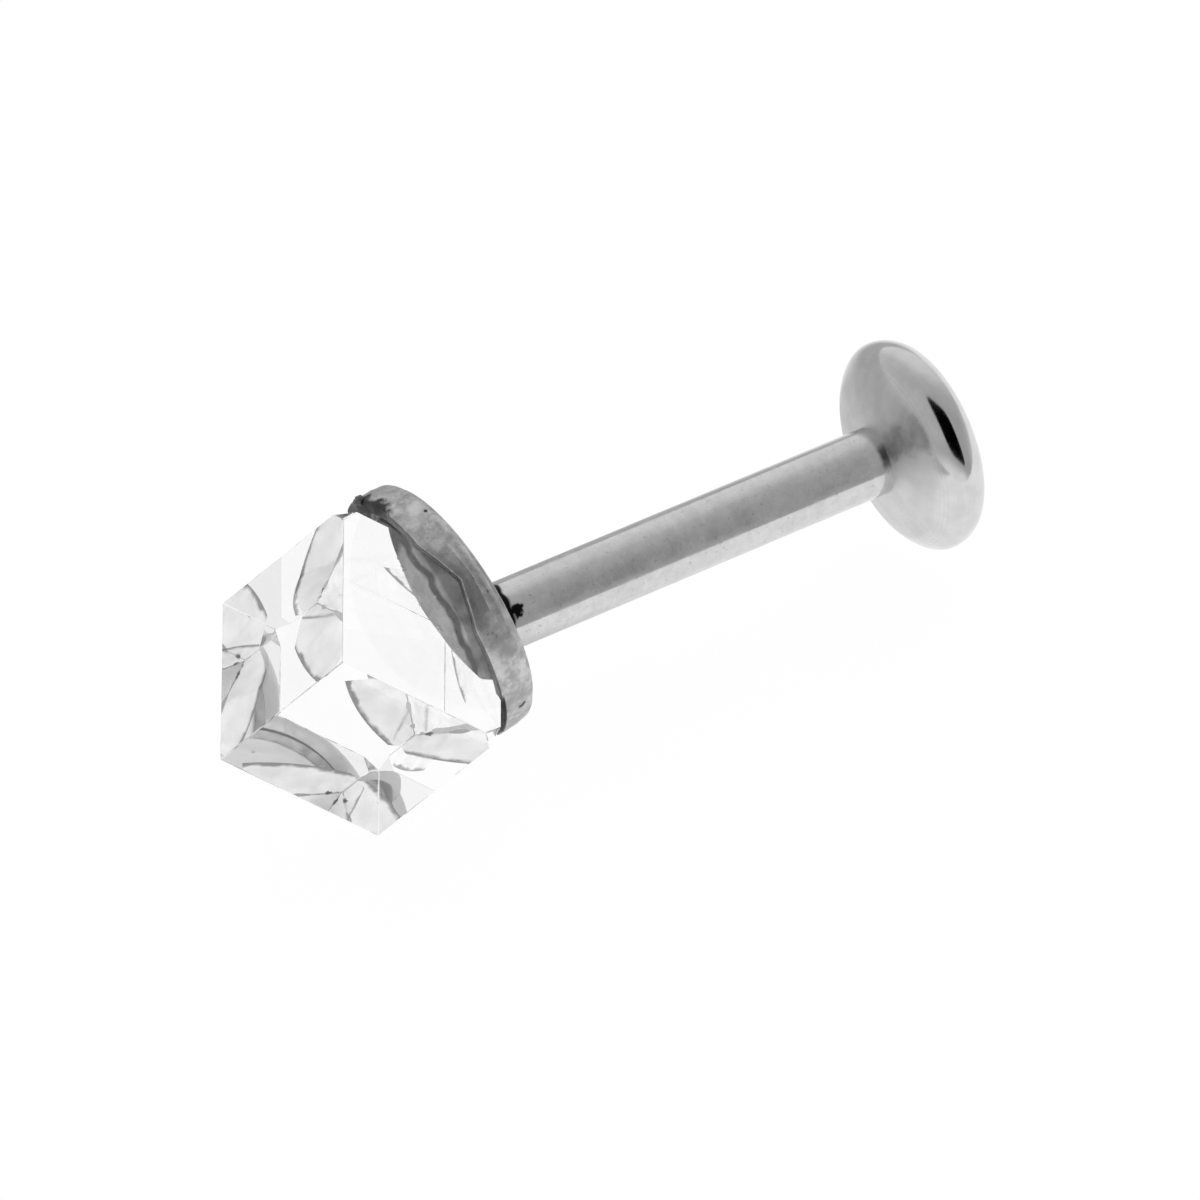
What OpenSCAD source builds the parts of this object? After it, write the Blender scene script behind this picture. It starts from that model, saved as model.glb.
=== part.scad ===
// Labret stud: a straight steel bar with a domed back disc, and a crystal cube set on its corner in a
// shallow steel cup. It lies as it does when unworn, on one edge of the cube and the rim of the disc.
// Millimetres, +Z up, +X from the crystal towards the disc. The origin is under the middle, on the surface.

/* [Back disc] */
// Diameter of the disc at its ridge
disc_d = 5; // [4:0.1:6]
// Height of the domed side, from the ridge to where the dome would close
disc_dome_h = 1.05; // [0.6:0.05:1.4]
// Thickness of the rounded side behind the ridge
disc_back_h = 0.65; // [0.3:0.05:0.9]

/* [Bar] */
// Diameter of the bar
bar_d = 1.6; // [1.2:0.1:2]
// Length of the bar between the disc and the cup
bar_len = 10.4; // [6:0.1:16]
// Diameter of the hidden tenon that holds the bar in the disc
tenon_d = 0.9; // [0.6:0.05:1]
// Depth of the tenon in the disc, under the end of the bar
tenon_len = 1.1; // [0.6:0.1:1.3]

/* [Crystal] */
// Edge of the cube
stone_edge = 4.45; // [4:0.05:5.5]
// Distance from the cube's cut-off back corner to the flat cut there
stone_back_cut = 1.8; // [1.7:0.05:2]
// How far the cone that trims the three side corners takes them in
stone_trim = 0.24; // [0.1:0.02:0.4]
// Half angle of that cone
stone_trim_angle = 15; // [10:0.5:20]

/* [Cup] */
// Outer diameter of the cup
cup_d = 6.15; // [5.8:0.05:6.6]
// Thickness of the cup's metal
cup_wall = 0.35; // [0.25:0.05:0.45]
// Distance from the cube's cut-off back corner to the cup's shoulder
cup_shoulder_z = 1.1; // [1:0.02:1.3]
// Height of the cup's wall, from its shoulder to its rim
cup_wall_h = 0.85; // [0.7:0.01:1]
// Height of the domed back behind the shoulder
cup_dome_h = 0.35; // [0.2:0.05:0.5]
// Radius that rounds the shoulder
cup_round = 0.18; // [0.1:0.01:0.25]
// Depth of the V notch in the rim at the middle of each face of the cube
notch_depth = 0.3; // [0.1:0.05:0.4]
// Width of the V notch at the rim
notch_w = 2.3; // [1:0.1:2.6]
// How far the cup sits off the cube's diagonal
cup_off = 0.23; // [0:0.01:0.3]
// Direction of that offset, round the diagonal
cup_off_az = -126; // [-180:1:180]
// Diameter of the hidden pin of the cup in the bar
pin_d = 0.8; // [0.6:0.05:1]
// Length of that pin in the bar
pin_len = 2.2; // [1.5:0.1:4]

/* [Adhesive] */
// Outer diameter of the adhesive round the crystal's back
cement_d = 4.95; // [4.4:0.05:5]
// Radius of its domed surface
cement_dome_r = 4.5; // [4:0.1:5.4]
// Height of that dome above the cube's cut-off back corner
cement_top_z = 2.7; // [2.6:0.02:2.8]

/* [Set of the head] */
// Lean of the crystal and cup on the bar, about the middle of the crystal
head_lean = 11.3; // [0:0.1:13]
// Direction of that lean, round the cube's diagonal
head_lean_az = -166; // [-180:1:180]
// How far the bar's line passes from the middle of the crystal
bar_off = 0.1; // [0:0.01:0.2]
// Direction of that offset, round the diagonal
bar_off_az = 51; // [-180:1:180]

/* [Fits] */
// Gap between pieces that are fitted to each other
fit_gap = 0.02; // [0.01:0.005:0.03]

/* [Hidden] */

$fn = 96;

// The head is drawn round the cube's diagonal: z = 0 at the cut-off back corner, z grows to the front.
diagonal = stone_edge * sqrt(3);
stone_mid = diagonal / 2;
// Angle between a cube's diagonal and its edges, and what an edge leans from square to the diagonal
edge_angle = atan(sqrt(2));
edge_lean = 90 - edge_angle;
// Turn of the cube that puts the edge it rests on at azimuth 0
stone_turn = 30;

cup_r = cup_d / 2;
cup_rim_z = cup_shoulder_z + cup_wall_h;
cup_floor_z = cup_shoulder_z + cup_wall;
cup_centre = cup_off * [cos(cup_off_az), sin(cup_off_az), 0];
cup_back_z = cup_shoulder_z - cup_dome_h;

disc_r = disc_d / 2;
// The bar's frame has z = 0 beside the middle of the crystal and z growing away from the disc
bar_start = bar_off * [cos(bar_off_az), sin(bar_off_az), 0] + [0, 0, stone_mid];
bar_top_z = -(stone_mid - cup_back_z) / cos(head_lean);
bar_foot_z = bar_top_z - bar_len;
// Height of the dome over the ridge where the bar's side meets it
bar_seat_h = disc_dome_h * sqrt(1 - pow(bar_d / disc_d, 2));
disc_z = bar_foot_z - bar_seat_h;

function rot_x(v, t) = [v.x, v.y * cos(t) - v.z * sin(t), v.y * sin(t) + v.z * cos(t)];
function rot_y(v, t) = [v.x * cos(t) + v.z * sin(t), v.y, v.z * cos(t) - v.x * sin(t)];
function rot_z(v, t) = [v.x * cos(t) - v.y * sin(t), v.x * sin(t) + v.y * cos(t), v.z];

// Middle between lo and hi after halving the span that holds the root of f
function solve(f, lo, hi, steps = 30) =
    let (mid = (lo + hi) / 2)
    steps == 0 ? mid
    : f(mid) * f(lo) > 0 ? solve(f, mid, hi, steps - 1)
    : solve(f, lo, mid, steps - 1);

// Direction and place of the bar, seen from the head
bar_dir = rot_z(rot_y([0, 0, 1], head_lean), head_lean_az);
disc_centre = bar_start + disc_z * bar_dir;

// Corner of the cube by its place along the three edges that leave the cut-off back corner
function corner(p) =
    rot_z(rot_y(rot_z(stone_edge * p, -45), -edge_angle), stone_turn);
front_corner = corner([1, 1, 1]);
near_front = [for (p = [[1, 1, 0], [1, 0, 1], [0, 1, 1]]) corner(p)];
side_corners = [for (p = [[1, 0, 0], [0, 1, 0], [0, 0, 1]]) corner(p)];
// The cube rests on the edge between these two
rest_front = corner([1, 1, 0]);
rest_side = corner([1, 0, 0]);

// Radius of the trimming cone at a height
function trim_r(z) = norm([rest_side.x, rest_side.y]) - stone_trim + (z - rest_side.z) * tan(stone_trim_angle);
// Place on the edge from a side corner to another corner where the cone cuts it
function trim_point(from, to) =
    let (f = function (t) let (p = from + t * (to - from)) norm([p.x, p.y]) - trim_r(p.z),
         t = solve(f, 0, 0.5))
    from + t * (to - from);
trimmed = [for (s = side_corners, n = near_front) if (norm(s - n) < 1.1 * stone_edge) trim_point(s, n)];

// The head's frame, laid so that the resting edge is level and the bar lies along X
function lay(v, roll) = rot_y(rot_x(v, -edge_lean), 90 + roll);
// Lowest point of the disc's rim above the resting edge, for a roll about that edge
function rim_gap(roll) =
    let (centre = lay(disc_centre, roll), dir = lay(bar_dir, roll))
    centre.z - (disc_r - disc_back_h) * sqrt(1 - dir.z * dir.z) - disc_back_h - lay(rest_front, roll).z;
rest_roll = solve(function (roll) rim_gap(roll), -25, 25);
laid_dir = lay(bar_dir, rest_roll);
rest_yaw = atan2(laid_dir.y, -laid_dir.x);
function rest(v) = rot_z(lay(v, rest_roll), rest_yaw);

// Middle of the whole under which the origin lies
rested = [for (p = concat([front_corner], near_front, trimmed)) rest(p)];
disc_reach_x = rest(disc_centre).x + (disc_r - disc_back_h) * abs(rest(bar_dir).z) + disc_back_h;
low_x = min([for (p = rested) p.x]);
mid_x = (low_x + disc_reach_x) / 2;
mid_y = (min([for (p = rested) p.y]) + max([for (p = rested) p.y])) / 2;
floor_z = rest(rest_front).z;

// Quarter of an ellipse, from its long end to the axis
function quarter(r, h, steps) = [for (i = [0 : steps]) [r * cos(90 * i / steps), h * sin(90 * i / steps)]];

// Lays the head's frame down as the stud rests
module at_rest() {
    translate([-mid_x, -mid_y, -floor_z])
        rotate([0, 0, rest_yaw]) rotate([0, 90 + rest_roll, 0]) rotate([-edge_lean, 0, 0])
            children();
}

// Puts a child drawn along the bar into the head's frame
module along_bar() {
    translate(bar_start) rotate([0, 0, head_lean_az]) rotate([0, head_lean, 0]) children();
}

// The cut cube, or the room for it when it is grown
module stone_shape(grow = 0) {
    tall = diagonal + 2 * stone_edge;
    intersection() {
        rotate([0, 0, stone_turn]) rotate([0, -edge_angle, 0]) rotate([0, 0, -45])
            translate(-grow * [1, 1, 1]) cube(stone_edge + 2 * grow);
        translate([0, 0, stone_back_cut - grow])
            cylinder(h = tall, r1 = trim_r(stone_back_cut - grow) + grow,
                r2 = trim_r(stone_back_cut - grow + tall) + grow);
    }
}

// Solid outline of the cup, or the room for it when it is grown
module cup_outline(grow = 0) {
    r = cup_r + grow;
    back = cup_back_z - grow;
    shoulder = cup_shoulder_z - grow;
    bend = cup_round + grow;
    arc = [for (i = [0 : 6]) [r - bend + bend * cos(15 * i), shoulder + bend - bend * sin(15 * i)]];
    dome = [for (i = [0 : 6]) let (x = (r - bend) * cos(15 * i)) [x, shoulder - (shoulder - back) * sin(15 * i)]];
    translate(cup_centre) rotate_extrude()
        polygon(concat([[0, cup_rim_z + grow], [r, cup_rim_z + grow]], arc, [for (i = [1 : 6]) dome[i]]));
}

// The disc's domed side over its ridge, or the room for it when it is grown
module disc_dome(grow = 0) {
    rotate_extrude() polygon(concat([[0, 0]], quarter(disc_r + grow, disc_dome_h + grow, 14)));
}

// V notch across the rim, at the middle of one face of the cube
module rim_notch(azimuth) {
    slope = notch_depth / (notch_w / 2);
    above = 1;
    half_top = (notch_depth + above) / slope;
    translate(cup_centre) rotate([0, 0, azimuth]) rotate([90, 0, 90])
        linear_extrude(height = cup_r + 1)
            polygon([[0, cup_rim_z - notch_depth], [half_top, cup_rim_z + above], [-half_top, cup_rim_z + above]]);
}

module back_disc() {
    color("silver") at_rest() along_bar() translate([0, 0, disc_z]) difference() {
        union() {
            disc_dome();
            rotate_extrude() {
                intersection() {
                    translate([disc_r - disc_back_h, 0]) circle(disc_back_h);
                    translate([disc_r - disc_back_h, -disc_back_h]) square(disc_back_h);
                }
                translate([0, -disc_back_h]) square([disc_r - disc_back_h, disc_back_h]);
            }
        }
        translate([0, 0, bar_seat_h - tenon_len - fit_gap])
            cylinder(h = disc_dome_h + tenon_len, d = tenon_d + 2 * fit_gap);
    }
}

module post() {
    color("gainsboro") at_rest() difference() {
        along_bar() union() {
            difference() {
                translate([0, 0, disc_z]) cylinder(h = -disc_z, d = bar_d);
                translate([0, 0, disc_z]) disc_dome(fit_gap);
            }
            translate([0, 0, bar_foot_z - tenon_len]) cylinder(h = 2 * tenon_len, d = tenon_d);
        }
        cup_outline(fit_gap);
        translate([0, 0, cup_rim_z]) cylinder(h = diagonal, r = cup_r);
        along_bar() translate([0, 0, bar_top_z - pin_len - fit_gap])
            cylinder(h = pin_len + diagonal, d = pin_d + 2 * fit_gap);
    }
}

module cup() {
    color("lightgray") at_rest() difference() {
        union() {
            cup_outline();
            along_bar() translate([0, 0, bar_top_z - pin_len]) cylinder(h = pin_len + cup_dome_h, d = pin_d);
        }
        translate(cup_centre + [0, 0, cup_floor_z]) cylinder(h = diagonal, r = cup_r - cup_wall);
        for (i = [0 : 2]) rim_notch(stone_turn + 120 * i);
        stone_shape(fit_gap);
    }
}

module cement() {
    color("darkgray") at_rest() difference() {
        intersection() {
            translate([0, 0, cement_top_z - cement_dome_r]) sphere(r = cement_dome_r);
            translate(cup_centre + [0, 0, cup_floor_z + fit_gap]) cylinder(h = cement_top_z, d = cement_d);
        }
        stone_shape(fit_gap);
    }
}

module stone() {
    color("white", 0.6) at_rest() stone_shape();
}

back_disc();
post();
cup();
cement();
stone();
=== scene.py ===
from math import atan, atan2, cos, degrees, pi, radians, sin, sqrt

import bmesh
import bpy
from mathutils import Matrix, Vector


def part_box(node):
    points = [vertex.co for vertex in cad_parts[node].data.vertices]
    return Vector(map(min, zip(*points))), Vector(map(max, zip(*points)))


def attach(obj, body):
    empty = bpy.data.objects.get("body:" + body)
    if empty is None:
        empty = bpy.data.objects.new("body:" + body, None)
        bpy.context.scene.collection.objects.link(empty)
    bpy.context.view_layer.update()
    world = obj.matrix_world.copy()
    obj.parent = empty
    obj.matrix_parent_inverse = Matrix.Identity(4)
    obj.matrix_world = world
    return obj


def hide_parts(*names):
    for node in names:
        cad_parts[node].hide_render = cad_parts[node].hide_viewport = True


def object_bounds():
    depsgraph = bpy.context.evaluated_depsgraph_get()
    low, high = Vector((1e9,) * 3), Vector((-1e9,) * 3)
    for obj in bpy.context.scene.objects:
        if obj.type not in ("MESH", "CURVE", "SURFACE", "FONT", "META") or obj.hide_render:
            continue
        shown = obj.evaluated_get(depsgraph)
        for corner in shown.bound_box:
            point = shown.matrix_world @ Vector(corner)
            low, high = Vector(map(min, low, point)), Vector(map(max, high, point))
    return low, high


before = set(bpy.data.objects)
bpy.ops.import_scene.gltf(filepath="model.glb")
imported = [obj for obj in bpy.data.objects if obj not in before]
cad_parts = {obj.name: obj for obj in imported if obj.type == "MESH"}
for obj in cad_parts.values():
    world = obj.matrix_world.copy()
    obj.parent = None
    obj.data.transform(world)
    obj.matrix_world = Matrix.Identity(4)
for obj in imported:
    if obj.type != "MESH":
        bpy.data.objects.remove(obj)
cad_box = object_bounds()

MM = 0.001

# Sizes in millimetres, as in the part's source
DISC_D, DISC_DOME_H, DISC_BACK_H = 5.0, 1.05, 0.65
BAR_D, BAR_LEN = 1.6, 10.4
STONE_EDGE, STONE_BACK_CUT = 4.45, 1.8
STONE_TRIM, STONE_TRIM_ANGLE = 0.24, radians(15)
CUP_D, CUP_WALL, CUP_SHOULDER_Z, CUP_WALL_H = 6.15, 0.35, 1.1, 0.85
CUP_DOME_H, CUP_ROUND = 0.35, 0.18
NOTCH_DEPTH, NOTCH_W = 0.3, 2.3
CUP_OFF, CUP_OFF_AZ = 0.23, radians(-126)
CEMENT_D, CEMENT_DOME_R, CEMENT_TOP_Z = 4.95, 4.5, 2.7
HEAD_LEAN, HEAD_LEAN_AZ = radians(11.3), radians(-166)
BAR_OFF, BAR_OFF_AZ = 0.1, radians(51)
FIT_GAP = 0.02


def polar(radius, azimuth, height=0):
    """A place by its distance from the Z axis, the angle round it and its height."""
    return Vector((radius * cos(azimuth), radius * sin(azimuth), height))


# What follows from them. In the head's frame the crystal stands on its cut-off back corner, at the
# origin. The bar's frame has its origin near the crystal's middle and its Z axis along the bar
DIAGONAL = STONE_EDGE * sqrt(3)
STONE_MID = DIAGONAL / 2
EDGE_ANGLE = atan(sqrt(2))
FACE_AZIMUTHS = [radians(a) for a in (30, 150, -90)]
SIDE_AZIMUTHS = [radians(a) for a in (-30, 90, -150)]
CUP_R = CUP_D / 2
CUP_RIM_Z = CUP_SHOULDER_Z + CUP_WALL_H
CUP_FLOOR_Z = CUP_SHOULDER_Z + CUP_WALL
CUP_BACK_Z = CUP_SHOULDER_Z - CUP_DOME_H
CUP_CENTRE = polar(CUP_OFF, CUP_OFF_AZ)
DISC_R = DISC_D / 2
BAR_TOP_Z = -(STONE_MID - CUP_BACK_Z) / cos(HEAD_LEAN)
BAR_FOOT_Z = BAR_TOP_Z - BAR_LEN
BAR_SEAT_H = DISC_DOME_H * sqrt(1 - (BAR_D / DISC_D) ** 2)
DISC_Z = BAR_FOOT_Z - BAR_SEAT_H


# How the stud rests


def turn(axis, angle):
    return Matrix.Rotation(angle, 4, axis)


def in_mm(corner):
    return Vector(corner) / MM


def last_where(test, low, high, halvings):
    """The last value from low on for which a test holds, found by halving."""
    for _ in range(halvings):
        middle = (low + high) / 2
        if test(middle):
            low = middle
        else:
            high = middle
    return low


def laid(roll):
    """The head's frame with the resting edge level, turned by roll about that edge."""
    return turn("Y", radians(90) + roll) @ turn("X", EDGE_ANGLE - radians(90))


def cube_corner(a, b, c):
    """Corner of the cube by its place along the three edges that leave the cut-off back corner."""
    stood = turn("Z", radians(30)) @ turn("Y", -EDGE_ANGLE) @ turn("Z", radians(-45))
    return stood @ (STONE_EDGE * Vector((a, b, c)))


along_bar = (
    Matrix.Translation(polar(BAR_OFF, BAR_OFF_AZ, STONE_MID))
    @ turn("Z", HEAD_LEAN_AZ)
    @ turn("Y", HEAD_LEAN)
)
bar_dir = along_bar.to_3x3() @ Vector((0, 0, 1))
disc_centre = along_bar @ Vector((0, 0, DISC_Z))


def rim_gap(roll):
    """Height of the disc's lowest point over the resting edge."""
    place = laid(roll)
    axis = place.to_3x3() @ bar_dir
    lowest = (DISC_R - DISC_BACK_H) * sqrt(1 - axis.z**2) + DISC_BACK_H
    return (place @ disc_centre).z - lowest - (place @ cube_corner(1, 1, 0)).z


def resting_roll():
    """The roll at which the disc's rim is level with the resting edge."""
    start, end = radians(-25), radians(25)
    side = rim_gap(start)
    return last_where(lambda roll: rim_gap(roll) * side > 0, start, end, 40)


def resting_place():
    """Lays the head's frame down as the stud rests, in millimetres."""
    roll = resting_roll()
    axis = laid(roll).to_3x3() @ bar_dir
    place = turn("Z", atan2(axis.y, -axis.x)) @ laid(roll)
    shift_x = in_mm(cad_box[0]).x - (place @ cube_corner(1, 1, 1)).x
    shift_y = in_mm(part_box("stone")[0]).y - lowest_y(place)
    shift_z = -(place @ cube_corner(1, 1, 0)).z
    return Matrix.Translation((shift_x, shift_y, shift_z)) @ place


def side_trims():
    """The three planes that take in the side corners: (point, outward normal)."""
    reach = STONE_EDGE * sin(EDGE_ANGLE) - STONE_TRIM
    height = STONE_EDGE * cos(EDGE_ANGLE)
    trims = []
    for azimuth in SIDE_AZIMUTHS:
        out = polar(1, azimuth)
        normal = out * cos(STONE_TRIM_ANGLE) - Vector((0, 0, sin(STONE_TRIM_ANGLE)))
        trims.append((out * reach + Vector((0, 0, height)), normal))
    return trims


def stone_cut():
    """The cube in the head's frame, with its back corner and side corners cut flat."""
    bm = bmesh.new()
    corners = {}
    for a in (0, 1):
        for b in (0, 1):
            for c in (0, 1):
                corners[a, b, c] = bm.verts.new(cube_corner(a, b, c))
    for axis in range(3):
        for side in (0, 1):
            ring = []
            for p, q in ((0, 0), (1, 0), (1, 1), (0, 1)):
                key = [p, q]
                key.insert(axis, side)
                ring.append(corners[tuple(key)])
            bm.faces.new(ring)
    cuts = side_trims() + [(Vector((0, 0, STONE_BACK_CUT)), Vector((0, 0, -1)))]
    for point, normal in cuts:
        parts = bm.verts[:] + bm.edges[:] + bm.faces[:]
        bmesh.ops.bisect_plane(bm, geom=parts, plane_co=point, plane_no=normal, clear_outer=True)
        bmesh.ops.holes_fill(bm, edges=[e for e in bm.edges if e.is_boundary], sides=0)
    bmesh.ops.recalc_face_normals(bm, faces=bm.faces[:])
    return bm


def lowest_y(place):
    """The crystal's lowest Y when its frame lies at a place."""
    bm = stone_cut()
    low = min((place @ v.co).y for v in bm.verts)
    bm.free()
    return low


head_place = resting_place()
bar_place = head_place @ along_bar
disc_place = bar_place @ Matrix.Translation((0, 0, DISC_Z))
cup_place = head_place @ Matrix.Translation(CUP_CENTRE)


# Meshes and pieces


def mesh_from(bm, name):
    mesh = bpy.data.meshes.new(name)
    bm.to_mesh(mesh)
    bm.free()
    return mesh


def add_object(name, data):
    thing = bpy.data.objects.new(name, data)
    bpy.context.scene.collection.objects.link(thing)
    return thing


def dress(piece, *materials):
    for material in materials:
        piece.data.materials.append(material)


def finish_mesh(bm, name, place, node=None, sharp=30):
    """Turns a millimetre mesh in its own frame into a piece in the row frame."""
    bmesh.ops.transform(bm, matrix=Matrix.Scale(MM, 4) @ place, verts=bm.verts[:])
    bmesh.ops.recalc_face_normals(bm, faces=bm.faces[:])
    mesh = mesh_from(bm, name)
    mesh.shade_smooth()
    mesh.set_sharp_from_angle(angle=radians(sharp))
    piece = add_object(name, mesh)
    if node:
        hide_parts(node)
    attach(piece, "root")
    return piece


def turned(rows, steps):
    """Closed mesh of rings round Z. A row gives (radius, height) at an angle; the end rows are poles."""
    bm = bmesh.new()
    rings = []
    for row in rows[1:-1]:
        ring = []
        for i in range(steps):
            angle = 2 * pi * i / steps
            radius, height = row(angle)
            ring.append(bm.verts.new(polar(radius, angle, height)))
        rings.append(ring)
    for lower, upper in zip(rings, rings[1:]):
        for i in range(steps):
            j = (i + 1) % steps
            bm.faces.new((lower[i], lower[j], upper[j], upper[i]))
    for row, ring in ((rows[0], rings[0]), (rows[-1], rings[-1])):
        pole = bm.verts.new((0, 0, row(0)[1]))
        for i in range(steps):
            bm.faces.new((pole, ring[i], ring[(i + 1) % steps]))
    return bm


def level(radius, height):
    """A row of the same radius and height all round."""
    return lambda angle: (radius, height)


def arc(centre, radius, start, end, count):
    """Level rows along an arc, angles in degrees from the outward direction."""
    rows = []
    for i in range(count + 1):
        a = radians(start + (end - start) * i / count)
        rows.append(level(centre[0] + radius * cos(a), centre[1] + radius * sin(a)))
    return rows


# Disc and bar

DISC_STEPS, DISC_FLAT_RINGS = 256, 8
BAR_STEPS, BAR_RINGS = 160, 60
# The bar starts inside the disc, at this share of its dome's height, and ends this short of the cup
BAR_START_SHARE, BAR_END_GAP = 0.6, 0.01
# The rounding of its edge at the cup: how far in from its side, and how far down from its end
BAR_EDGE = ((0, 0.05), (0.04, 0.01))


def disc_rows():
    """From the middle of the flat back, round the ridge and over the dome."""
    flat_r = DISC_R - DISC_BACK_H
    rows = [level(flat_r * i / DISC_FLAT_RINGS, -DISC_BACK_H) for i in range(DISC_FLAT_RINGS + 1)]
    rows += arc((flat_r, 0), DISC_BACK_H, -86, -6, 16)
    rows.append(level(DISC_R, 0))
    for i in range(2, 90, 2):
        a = radians(i)
        rows.append(level(DISC_R * cos(a), DISC_DOME_H * sin(a)))
    rows.append(level(0, DISC_DOME_H))
    return rows


def bar_rows():
    """From the hidden end in the disc to the end at the cup."""
    radius = BAR_D / 2
    start = DISC_Z + DISC_DOME_H * BAR_START_SHARE
    end = BAR_TOP_Z - BAR_END_GAP
    rows = [level(0, start), level(radius / 2, start), level(radius, start)]
    rows += [level(radius, start + (end - start) * i / BAR_RINGS) for i in range(1, BAR_RINGS)]
    rows += [level(radius - inward, end - down) for inward, down in BAR_EDGE]
    rows += [level(radius / 2, end), level(0, end)]
    return rows


# Cup

CUP_STEPS = 480
# The foot of the wall is drawn in by this much, half as much at the first share of its height, and
# not at all from the second on. The third share holds one more ring
CUP_DRAWN_IN, CUP_DRAWN_TO, CUP_OUT_FROM, CUP_WALL_MIDDLE = 0.03, 0.25, 0.3, 0.65
# Rounding of the rim's edges, a point halfway round it, and the rounding at the floor
RIM_EDGE, RIM_EDGE_MID, FLOOR_EDGE = 0.05, 0.015, 0.04


def stone_height(x, y):
    """Height at which the crystal's back begins over a place, in the head's frame."""
    over = max(x * cos(a) + y * sin(a) for a in FACE_AZIMUTHS) * sqrt(2)
    return max(over, STONE_BACK_CUT)


def under_stone(radius, angle):
    """Height just under the crystal, by the place round the cup's axis."""
    place = CUP_CENTRE + polar(radius, angle)
    return stone_height(place.x, place.y) - FIT_GAP * sqrt(3)


def rim_height(radius, angle):
    """The cup's rim, with its V notches and the seats for the crystal's back edges."""
    depth = 0
    for azimuth in FACE_AZIMUTHS:
        if cos(angle - azimuth) > 0:
            across = abs(radius * sin(angle - azimuth))
            depth = max(depth, NOTCH_DEPTH * (1 - 2 * across / NOTCH_W))
    return min(CUP_RIM_Z - depth, under_stone(radius, angle))


def rim_row(radius, drop):
    """Row of the cup's rim, or a drop below it."""
    return lambda angle: (radius, rim_height(radius, angle) - drop)


def wall_row(share, radius):
    """Row of the cup's outside, a share of the way up from the shoulder to the rim."""
    foot = CUP_SHOULDER_Z + CUP_ROUND
    return lambda angle: (radius, foot + share * (rim_height(CUP_R, angle) - RIM_EDGE - foot))


def cup_rows():
    """From the middle of the domed back, up the wall, over the rim and across the floor."""
    inner = CUP_R - CUP_WALL
    dome_r = CUP_R - CUP_ROUND
    rows = [level(0, CUP_BACK_Z)]
    for i in range(86, 8, -4):
        a = radians(i)
        rows.append(level(dome_r * cos(a), CUP_SHOULDER_Z - CUP_DOME_H * sin(a)))
    rows += arc((dome_r - CUP_DRAWN_IN, CUP_SHOULDER_Z + CUP_ROUND), CUP_ROUND, -84, -8, 10)
    rows += [wall_row(0, CUP_R - CUP_DRAWN_IN), wall_row(CUP_DRAWN_TO, CUP_R - CUP_DRAWN_IN / 2)]
    rows += [wall_row(share, CUP_R) for share in (CUP_OUT_FROM, CUP_WALL_MIDDLE, 1)]
    rows += [rim_row(CUP_R - RIM_EDGE_MID, RIM_EDGE_MID), rim_row(CUP_R - RIM_EDGE, 0)]
    rows.append(rim_row(CUP_R - CUP_WALL / 2, 0))
    rows += [rim_row(inner + RIM_EDGE, 0), rim_row(inner + RIM_EDGE_MID, RIM_EDGE_MID)]
    rows += [rim_row(inner, RIM_EDGE), level(inner, CUP_FLOOR_Z + FLOOR_EDGE)]
    rows.append(level(inner - FLOOR_EDGE, CUP_FLOOR_Z))
    rows += [level(inner * share, CUP_FLOOR_Z) for share in (0.6, 0.2, 0)]
    return rows


# Adhesive

CEMENT_STEPS, CEMENT_RINGS = 240, 8
# Ripples of its top round the cup: height, how many, and how far turned
CEMENT_RIPPLES = ((0.012, 7, 1.3), (0.008, 13, 0))
# The rounding of its outer edge, in from its side and down from its top, and its least height
CEMENT_EDGE_IN, CEMENT_EDGE_DOWN, CEMENT_LEAST_H = 0.02, 0.05, 0.05
CEMENT_TOP_R = CEMENT_D / 2 - CEMENT_EDGE_IN
# Where the search for the crystal's edge on it starts
BARED_FROM_R = 0.8
# The drop's half sizes, and its place, half sunk on the outer edge of the cup's rim
BEAD_SIZE = (0.12, 0.1, 0.15)
BEAD_AT = polar(CUP_R, radians(-137), CUP_RIM_Z)


def dome_height(radius, angle):
    """The adhesive's rippled dome, by the place round the cup's axis."""
    place = CUP_CENTRE + polar(radius, angle)
    ripple = sum(rise * sin(count * angle + shift) for rise, count, shift in CEMENT_RIPPLES)
    return CEMENT_TOP_Z - CEMENT_DOME_R + sqrt(CEMENT_DOME_R**2 - place.length_squared) + ripple


def bared_radius(angle):
    """Where the adhesive comes out from under the crystal."""

    def covered(radius):
        return under_stone(radius, angle) < dome_height(radius, angle)

    return last_where(covered, BARED_FROM_R, CEMENT_TOP_R, 24)


def cement_height(radius, angle):
    return min(dome_height(radius, angle), under_stone(radius, angle))


def cement_row(share, bared):
    """Row of the adhesive's top, a share of the way out under the crystal or on the bared part."""

    def row(angle):
        start = bared_radius(angle)
        radius = start + share * (CEMENT_TOP_R - start) if bared else start * share
        return radius, max(cement_height(radius, angle), CUP_FLOOR_Z + CEMENT_LEAST_H)

    return row


def cement_edge(angle):
    radius = CEMENT_D / 2
    return radius, cement_height(radius, angle) - CEMENT_EDGE_DOWN


def cement_rows():
    """From the middle of the cup's floor, up the side and over the top to the middle."""
    floor = CUP_FLOOR_Z + FIT_GAP
    rows = [level(0, floor), level(CEMENT_D / 4, floor), level(CEMENT_D / 2, floor), cement_edge]
    rows += [cement_row(i / CEMENT_RINGS, True) for i in range(CEMENT_RINGS, -1, -1)]
    rows += [cement_row(i / CEMENT_RINGS, False) for i in range(CEMENT_RINGS - 1, 0, -1)]
    rows.append(level(0, STONE_BACK_CUT - FIT_GAP))
    return rows


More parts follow.
